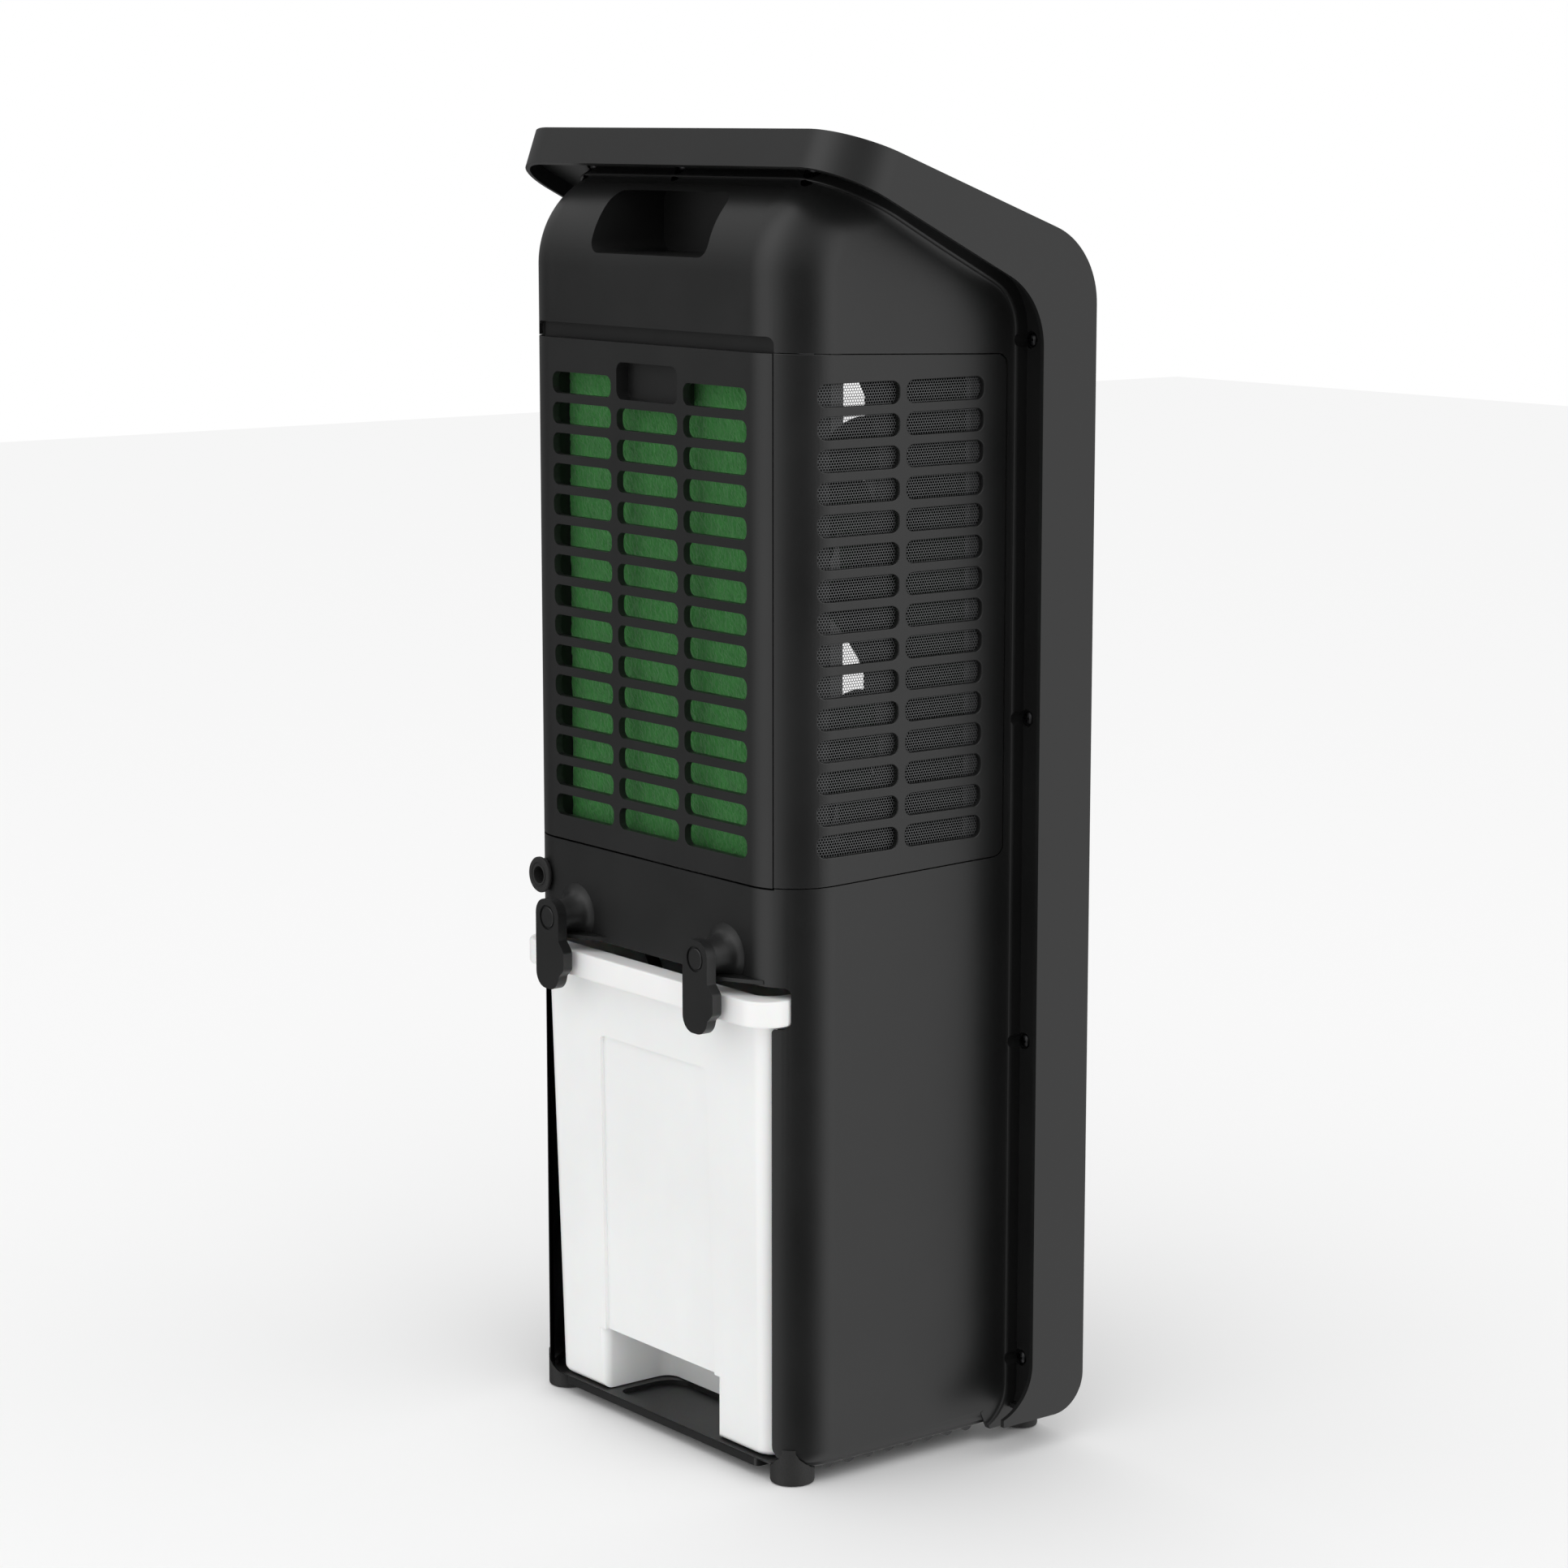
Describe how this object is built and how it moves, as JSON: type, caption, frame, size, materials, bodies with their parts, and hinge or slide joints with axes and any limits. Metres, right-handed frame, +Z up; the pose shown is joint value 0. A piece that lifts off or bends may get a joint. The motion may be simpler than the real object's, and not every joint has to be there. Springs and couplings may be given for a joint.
{
  "type": "evaporative air cooler",
  "caption": "Tower evaporative air cooler with slatted rear and side intakes, a cooling pad, two fans, a louvred outlet and a latched water tank.",
  "frame": {"origin": "on the floor, under the centre of the bounding box", "axes": "+Z up, -Y towards the front outlet, +Y towards the water tank and latches"},
  "size_m": [0.288, 0.196, 0.685],
  "materials": {
    "black_plastic": "fine satin moulded texture",
    "grille_plastic": "fine satin moulded texture",
    "inner_plastic": "plain moulded",
    "dust_mesh": "woven nylon screen",
    "white_plastic": "satin moulded, slightly translucent",
    "green_pad": "fibrous corrugated wet pad",
    "rubber": "matte",
    "steel": "zinc plated",
    "dark_steel": "black oxide",
    "circuit_board": "lacquered board",
    "display_window": "smoked gloss",
    "grey_plastic": "satin"
  },
  "bodies": {
    "root": {"base_plate": "black_plastic", "control_board": "circuit_board", "control_panel": "black_plastic", "cord_gland": "rubber", "display_window": "display_window", "drip_tray": "inner_plastic", "fan_shroud": "inner_plastic", "foot_front_left": "rubber", "foot_front_right": "rubber", "foot_rear_left": "rubber", "foot_rear_right": "rubber", "front_shell": "black_plastic", "latch_pin_left": "black_plastic", "latch_pin_right": "black_plastic", "louvre_frame": "black_plastic", "motor_lower": "steel", "motor_mount_lower": "inner_plastic", "motor_mount_upper": "inner_plastic", "motor_upper": "steel", "rear_housing": "black_plastic", "shell_screw_left_1": "dark_steel", "shell_screw_left_2": "dark_steel", "shell_screw_left_3": "dark_steel", "shell_screw_left_4": "dark_steel", "shell_screw_right_1": "dark_steel", "shell_screw_right_2": "dark_steel", "shell_screw_right_3": "dark_steel", "shell_screw_right_4": "dark_steel", "side_grille_left": "grille_plastic", "side_grille_right": "grille_plastic", "side_mesh_left": "dust_mesh", "side_mesh_right": "dust_mesh", "swing_motor": "steel", "water_hose": "rubber", "water_pump": "inner_plastic", "water_tank": "white_plastic"},
    "filter_door": {"rear_grille": "grille_plastic", "pad_frame": "inner_plastic", "cooling_pad": "green_pad"},
    "latch_left_body": {"latch_left": "black_plastic"},
    "latch_right_body": {"latch_right": "black_plastic"},
    "fan_upper_rotor": {"fan_upper": "grey_plastic"},
    "fan_lower_rotor": {"fan_lower": "grey_plastic"},
    "impeller": {"pump_impeller": "grey_plastic"},
    "vane_link_body": {"vane_link": "inner_plastic"},
    "louvre_1_body": {"louvre_1": "black_plastic"},
    "louvre_2_body": {"louvre_2": "black_plastic"},
    "louvre_3_body": {"louvre_3": "black_plastic"},
    "louvre_4_body": {"louvre_4": "black_plastic"},
    "louvre_5_body": {"louvre_5": "black_plastic"},
    "louvre_6_body": {"louvre_6": "black_plastic"},
    "vane_1_body": {"vane_1": "inner_plastic"},
    "vane_2_body": {"vane_2": "inner_plastic"},
    "vane_3_body": {"vane_3": "inner_plastic"},
    "vane_4_body": {"vane_4": "inner_plastic"},
    "button_1_body": {"button_1": "grey_plastic"},
    "button_2_body": {"button_2": "grey_plastic"},
    "button_3_body": {"button_3": "grey_plastic"},
    "button_4_body": {"button_4": "grey_plastic"},
    "button_5_body": {"button_5": "grey_plastic"}
  },
  "joints": [
    {"name": "filter_door_tilt", "type": "hinge", "parent": "root", "child": "filter_door", "pos_m": [0, 0.0754, 0.3113], "axis": [-1, 0, 0], "range_deg": [0, 14]},
    {"name": "latch_left_turn", "type": "hinge", "parent": "root", "child": "latch_left_body", "pos_m": [-0.0656, 0.0942, 0.2725], "axis": [0, 1, 0], "range_deg": [0, 90]},
    {"name": "latch_right_turn", "type": "hinge", "parent": "root", "child": "latch_right_body", "pos_m": [0.0656, 0.0942, 0.2725], "axis": [0, -1, 0], "range_deg": [0, 90]},
    {"name": "fan_upper_spin", "type": "hinge", "parent": "root", "child": "fan_upper_rotor", "pos_m": [0, -0.0281, 0.514], "axis": [0, 1, 0], "continuous": true},
    {"name": "fan_lower_spin", "type": "hinge", "parent": "root", "child": "fan_lower_rotor", "pos_m": [0, -0.0281, 0.371], "axis": [0, 1, 0], "continuous": true},
    {"name": "impeller_spin", "type": "hinge", "parent": "root", "child": "impeller", "pos_m": [0.06, -0.0266, 0.0251], "axis": [0, 0, 1], "continuous": true},
    {"name": "louvre_1_tilt", "type": "hinge", "parent": "root", "child": "louvre_1_body", "pos_m": [0, -0.0816, 0.327], "axis": [1, 0, 0], "range_deg": [-35, 35]},
    {"name": "louvre_2_tilt", "type": "hinge", "parent": "root", "child": "louvre_2_body", "pos_m": [0, -0.0816, 0.373], "axis": [1, 0, 0], "range_deg": [-35, 35]},
    {"name": "louvre_3_tilt", "type": "hinge", "parent": "root", "child": "louvre_3_body", "pos_m": [0, -0.0816, 0.419], "axis": [1, 0, 0], "range_deg": [-35, 35]},
    {"name": "louvre_4_tilt", "type": "hinge", "parent": "root", "child": "louvre_4_body", "pos_m": [0, -0.0816, 0.465], "axis": [1, 0, 0], "range_deg": [-35, 35]},
    {"name": "louvre_5_tilt", "type": "hinge", "parent": "root", "child": "louvre_5_body", "pos_m": [0, -0.0816, 0.511], "axis": [1, 0, 0], "range_deg": [-35, 35]},
    {"name": "louvre_6_tilt", "type": "hinge", "parent": "root", "child": "louvre_6_body", "pos_m": [0, -0.0816, 0.557], "axis": [1, 0, 0], "range_deg": [-35, 35]},
    {"name": "vane_1_swing", "type": "hinge", "parent": "root", "child": "vane_1_body", "pos_m": [-0.06375, -0.0571, 0.442], "axis": [0, 0, 1], "range_deg": [-30, 30]},
    {"name": "vane_2_swing", "type": "hinge", "parent": "root", "child": "vane_2_body", "pos_m": [-0.02125, -0.0571, 0.442], "axis": [0, 0, 1], "range_deg": [-30, 30]},
    {"name": "vane_3_swing", "type": "hinge", "parent": "root", "child": "vane_3_body", "pos_m": [0.02125, -0.0571, 0.442], "axis": [0, 0, 1], "range_deg": [-30, 30]},
    {"name": "vane_4_swing", "type": "hinge", "parent": "root", "child": "vane_4_body", "pos_m": [0.06375, -0.0571, 0.442], "axis": [0, 0, 1], "range_deg": [-30, 30]},
    {"name": "vane_link_pivot", "type": "hinge", "parent": "vane_1_body", "child": "vane_link_body", "pos_m": [-0.06375, -0.0491, 0.442], "axis": [0, 0, 1], "range_deg": [-30, 30]},
    {"name": "button_1_press", "type": "slide", "parent": "root", "child": "button_1_body", "axis": [0, 0.3453, -0.9385], "range_m": [0, 0.0011], "stiffness_N_per_m": 200, "springref_m": -0.0005},
    {"name": "button_2_press", "type": "slide", "parent": "root", "child": "button_2_body", "axis": [0, 0.3453, -0.9385], "range_m": [0, 0.0011], "stiffness_N_per_m": 200, "springref_m": -0.0005},
    {"name": "button_3_press", "type": "slide", "parent": "root", "child": "button_3_body", "axis": [0, 0.3453, -0.9385], "range_m": [0, 0.0011], "stiffness_N_per_m": 200, "springref_m": -0.0005},
    {"name": "button_4_press", "type": "slide", "parent": "root", "child": "button_4_body", "axis": [0, 0.3453, -0.9385], "range_m": [0, 0.0011], "stiffness_N_per_m": 200, "springref_m": -0.0005},
    {"name": "button_5_press", "type": "slide", "parent": "root", "child": "button_5_body", "axis": [0, 0.3453, -0.9385], "range_m": [0, 0.0011], "stiffness_N_per_m": 200, "springref_m": -0.0005}
  ],
  "couplings": [
    {"joint": "louvre_2_tilt", "follows": "louvre_1_tilt", "ratio": 1},
    {"joint": "louvre_3_tilt", "follows": "louvre_1_tilt", "ratio": 1},
    {"joint": "louvre_4_tilt", "follows": "louvre_1_tilt", "ratio": 1},
    {"joint": "louvre_5_tilt", "follows": "louvre_1_tilt", "ratio": 1},
    {"joint": "louvre_6_tilt", "follows": "louvre_1_tilt", "ratio": 1},
    {"joint": "vane_2_swing", "follows": "vane_1_swing", "ratio": 1},
    {"joint": "vane_3_swing", "follows": "vane_1_swing", "ratio": 1},
    {"joint": "vane_4_swing", "follows": "vane_1_swing", "ratio": 1},
    {"joint": "vane_link_pivot", "follows": "vane_1_swing", "ratio": -1}
  ]
}
